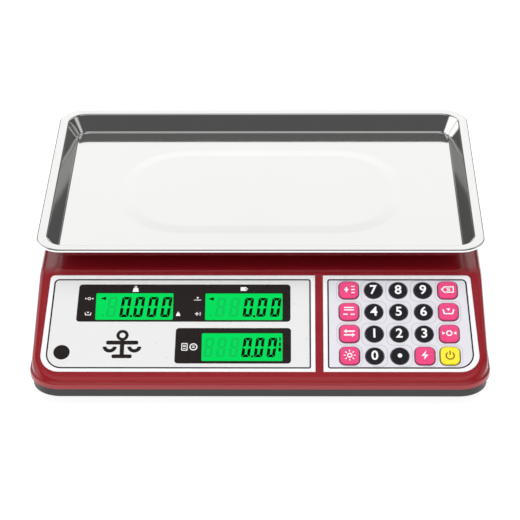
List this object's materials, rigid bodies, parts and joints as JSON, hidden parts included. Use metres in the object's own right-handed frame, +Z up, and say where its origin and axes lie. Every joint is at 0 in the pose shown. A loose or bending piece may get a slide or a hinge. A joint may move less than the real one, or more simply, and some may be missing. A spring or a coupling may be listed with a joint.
{
  "type": "price computing scale",
  "caption": "Counter-top retail weighing scale with a rectangular steel tray on a load cell, a sloping panel of three displays and a keypad, and screw-in levelling feet.",
  "frame": {"origin": "on the counter, under the middle of the housing's footprint", "axes": "+X to the right as the seller faces the keypad, +Y from the seller to the customer side, +Z up"},
  "size_m": [0.343, 0.3105, 0.092],
  "materials": {
    "stainless": "bright mirror-polished stainless sheet",
    "rubber": "matt moulded rubber",
    "cast_aluminium": "as-cast, lightly textured",
    "machined_aluminium": "machined, satin",
    "zinc_screw": "bright zinc plate",
    "potting": "white silicone",
    "steel_plate": "zinc-plated steel",
    "brass": "turned brass",
    "red_abs": "glossy deep red moulded ABS",
    "grey_abs": "fine-textured dark grey ABS",
    "black_screw": "black oxide",
    "white_label": "printed polycarbonate overlay, satin",
    "lilac_label": "printed polycarbonate overlay, satin",
    "lcd_green": "back-lit green display glass",
    "backlight": "milky light guide",
    "circuit_board": "solder-masked glass-fibre board",
    "vial": "clear acrylic vial with yellow-green fluid",
    "silicone": "grey silicone",
    "pink_key": "glossy moulded ABS",
    "black_key": "glossy moulded ABS",
    "yellow_key": "glossy moulded ABS",
    "battery_case": "moulded ABS battery case",
    "black_plastic": "moulded nylon",
    "transformer_core": "varnished steel laminations",
    "smoked_window": "smoked acrylic",
    "cable": "PVC sheath"
  },
  "bodies": {
    "base": {"load_cell": "machined_aluminium", "gauge_potting": "potting", "cell_plate": "steel_plate", "cell_screws": "zinc_screw", "overload_stops": "brass", "upper_housing": "red_abs", "lower_housing": "grey_abs", "housing_screws": "black_screw", "foot_nuts": "brass", "display_fascia": "white_label", "lcd_weight": "lcd_green", "lcd_unit_price": "lcd_green", "lcd_total": "lcd_green", "lcd_backlights": "backlight", "main_board": "circuit_board", "level_vial": "vial", "keypad_fascia": "lilac_label", "key_mat": "silicone", "keypad_board": "circuit_board", "battery": "battery_case", "power_inlet": "black_plastic", "transformer": "transformer_core", "rear_fascia": "smoked_window", "rear_lcd": "lcd_green", "rear_board": "circuit_board", "wiring": "cable", "board_screws": "zinc_screw"},
    "platform": {"load_frame": "cast_aluminium", "frame_screws": "zinc_screw", "tray_pads": "rubber"},
    "tray": {"weighing_tray": "stainless"},
    "door": {"battery_door": "grey_abs"},
    "pad_front_left": {"foot_pad_front_left": "rubber"},
    "screw_front_left": {"foot_screw_front_left": "black_plastic"},
    "pad_front_right": {"foot_pad_front_right": "rubber"},
    "screw_front_right": {"foot_screw_front_right": "black_plastic"},
    "pad_rear_left": {"foot_pad_rear_left": "rubber"},
    "screw_rear_left": {"foot_screw_rear_left": "black_plastic"},
    "pad_rear_right": {"foot_pad_rear_right": "rubber"},
    "screw_rear_right": {"foot_screw_rear_right": "black_plastic"},
    "key_accumulate": {"key_accumulate": "pink_key"},
    "key_7": {"key_7": "black_key"},
    "key_8": {"key_8": "black_key"},
    "key_9": {"key_9": "black_key"},
    "key_clear": {"key_clear": "pink_key"},
    "key_clear_total": {"key_clear_total": "pink_key"},
    "key_4": {"key_4": "black_key"},
    "key_5": {"key_5": "black_key"},
    "key_6": {"key_6": "black_key"},
    "key_tare": {"key_tare": "pink_key"},
    "key_change": {"key_change": "pink_key"},
    "key_1": {"key_1": "black_key"},
    "key_2": {"key_2": "black_key"},
    "key_3": {"key_3": "black_key"},
    "key_zero": {"key_zero": "pink_key"},
    "key_brightness": {"key_brightness": "pink_key"},
    "key_0": {"key_0": "black_key"},
    "key_point": {"key_point": "black_key"},
    "key_voltage": {"key_voltage": "pink_key"},
    "key_power": {"key_power": "yellow_key"}
  },
  "joints": [
    {"name": "weighing_flex", "type": "slide", "parent": "base", "child": "platform", "axis": [0, 0, -1], "range_m": [0, 0.0005], "stiffness_N_per_m": 60000, "deforming": ["load_cell"]},
    {"name": "tray_lift", "type": "slide", "parent": "platform", "child": "tray", "axis": [0, 0, 1], "range_m": [0, 0.08]},
    {"name": "foot_slide_front_left", "type": "slide", "parent": "base", "child": "pad_front_left", "axis": [0, 0, -1], "range_m": [0, 0.006]},
    {"name": "foot_turn_front_left", "type": "hinge", "parent": "pad_front_left", "child": "screw_front_left", "pos_m": [-0.14, -0.12, 0], "axis": [0, 0, -1], "range_deg": [0, 2160]},
    {"name": "foot_slide_front_right", "type": "slide", "parent": "base", "child": "pad_front_right", "axis": [0, 0, -1], "range_m": [0, 0.006]},
    {"name": "foot_turn_front_right", "type": "hinge", "parent": "pad_front_right", "child": "screw_front_right", "pos_m": [0.14, -0.12, 0], "axis": [0, 0, -1], "range_deg": [0, 2160]},
    {"name": "foot_slide_rear_left", "type": "slide", "parent": "base", "child": "pad_rear_left", "axis": [0, 0, -1], "range_m": [0, 0.006]},
    {"name": "foot_turn_rear_left", "type": "hinge", "parent": "pad_rear_left", "child": "screw_rear_left", "pos_m": [-0.14, 0.12, 0], "axis": [0, 0, -1], "range_deg": [0, 2160]},
    {"name": "foot_slide_rear_right", "type": "slide", "parent": "base", "child": "pad_rear_right", "axis": [0, 0, -1], "range_m": [0, 0.006]},
    {"name": "foot_turn_rear_right", "type": "hinge", "parent": "pad_rear_right", "child": "screw_rear_right", "pos_m": [0.14, 0.12, 0], "axis": [0, 0, -1], "range_deg": [0, 2160]},
    {"name": "key_accumulate_press", "type": "slide", "parent": "base", "child": "key_accumulate", "axis": [0, 0.4848, -0.8746], "range_m": [0, 0.0012], "stiffness_N_per_m": 400, "deforming": ["key_mat"]},
    {"name": "key_7_press", "type": "slide", "parent": "base", "child": "key_7", "axis": [0, 0.4848, -0.8746], "range_m": [0, 0.0012], "stiffness_N_per_m": 400, "deforming": ["key_mat"]},
    {"name": "key_8_press", "type": "slide", "parent": "base", "child": "key_8", "axis": [0, 0.4848, -0.8746], "range_m": [0, 0.0012], "stiffness_N_per_m": 400, "deforming": ["key_mat"]},
    {"name": "key_9_press", "type": "slide", "parent": "base", "child": "key_9", "axis": [0, 0.4848, -0.8746], "range_m": [0, 0.0012], "stiffness_N_per_m": 400, "deforming": ["key_mat"]},
    {"name": "key_clear_press", "type": "slide", "parent": "base", "child": "key_clear", "axis": [0, 0.4848, -0.8746], "range_m": [0, 0.0012], "stiffness_N_per_m": 400, "deforming": ["key_mat"]},
    {"name": "key_clear_total_press", "type": "slide", "parent": "base", "child": "key_clear_total", "axis": [0, 0.4848, -0.8746], "range_m": [0, 0.0012], "stiffness_N_per_m": 400, "deforming": ["key_mat"]},
    {"name": "key_4_press", "type": "slide", "parent": "base", "child": "key_4", "axis": [0, 0.4848, -0.8746], "range_m": [0, 0.0012], "stiffness_N_per_m": 400, "deforming": ["key_mat"]},
    {"name": "key_5_press", "type": "slide", "parent": "base", "child": "key_5", "axis": [0, 0.4848, -0.8746], "range_m": [0, 0.0012], "stiffness_N_per_m": 400, "deforming": ["key_mat"]},
    {"name": "key_6_press", "type": "slide", "parent": "base", "child": "key_6", "axis": [0, 0.4848, -0.8746], "range_m": [0, 0.0012], "stiffness_N_per_m": 400, "deforming": ["key_mat"]},
    {"name": "key_tare_press", "type": "slide", "parent": "base", "child": "key_tare", "axis": [0, 0.4848, -0.8746], "range_m": [0, 0.0012], "stiffness_N_per_m": 400, "deforming": ["key_mat"]},
    {"name": "key_change_press", "type": "slide", "parent": "base", "child": "key_change", "axis": [0, 0.4848, -0.8746], "range_m": [0, 0.0012], "stiffness_N_per_m": 400, "deforming": ["key_mat"]},
    {"name": "key_1_press", "type": "slide", "parent": "base", "child": "key_1", "axis": [0, 0.4848, -0.8746], "range_m": [0, 0.0012], "stiffness_N_per_m": 400, "deforming": ["key_mat"]},
    {"name": "key_2_press", "type": "slide", "parent": "base", "child": "key_2", "axis": [0, 0.4848, -0.8746], "range_m": [0, 0.0012], "stiffness_N_per_m": 400, "deforming": ["key_mat"]},
    {"name": "key_3_press", "type": "slide", "parent": "base", "child": "key_3", "axis": [0, 0.4848, -0.8746], "range_m": [0, 0.0012], "stiffness_N_per_m": 400, "deforming": ["key_mat"]},
    {"name": "key_zero_press", "type": "slide", "parent": "base", "child": "key_zero", "axis": [0, 0.4848, -0.8746], "range_m": [0, 0.0012], "stiffness_N_per_m": 400, "deforming": ["key_mat"]},
    {"name": "key_brightness_press", "type": "slide", "parent": "base", "child": "key_brightness", "axis": [0, 0.4848, -0.8746], "range_m": [0, 0.0012], "stiffness_N_per_m": 400, "deforming": ["key_mat"]},
    {"name": "key_0_press", "type": "slide", "parent": "base", "child": "key_0", "axis": [0, 0.4848, -0.8746], "range_m": [0, 0.0012], "stiffness_N_per_m": 400, "deforming": ["key_mat"]},
    {"name": "key_point_press", "type": "slide", "parent": "base", "child": "key_point", "axis": [0, 0.4848, -0.8746], "range_m": [0, 0.0012], "stiffness_N_per_m": 400, "deforming": ["key_mat"]},
    {"name": "key_voltage_press", "type": "slide", "parent": "base", "child": "key_voltage", "axis": [0, 0.4848, -0.8746], "range_m": [0, 0.0012], "stiffness_N_per_m": 400, "deforming": ["key_mat"]},
    {"name": "key_power_press", "type": "slide", "parent": "base", "child": "key_power", "axis": [0, 0.4848, -0.8746], "range_m": [0, 0.0012], "stiffness_N_per_m": 400, "deforming": ["key_mat"]},
    {"name": "battery_door_hinge", "type": "hinge", "parent": "base", "child": "door", "pos_m": [-0.125, -0.041, 0.0103], "axis": [1, 0, 0], "range_deg": [-75, 0]}
  ],
  "couplings": [
    {"joint": "foot_turn_front_left", "follows": "foot_slide_front_left", "rad_per_m": 6283.2},
    {"joint": "foot_turn_front_right", "follows": "foot_slide_front_right", "rad_per_m": 6283.2},
    {"joint": "foot_turn_rear_left", "follows": "foot_slide_rear_left", "rad_per_m": 6283.2},
    {"joint": "foot_turn_rear_right", "follows": "foot_slide_rear_right", "rad_per_m": 6283.2}
  ]
}
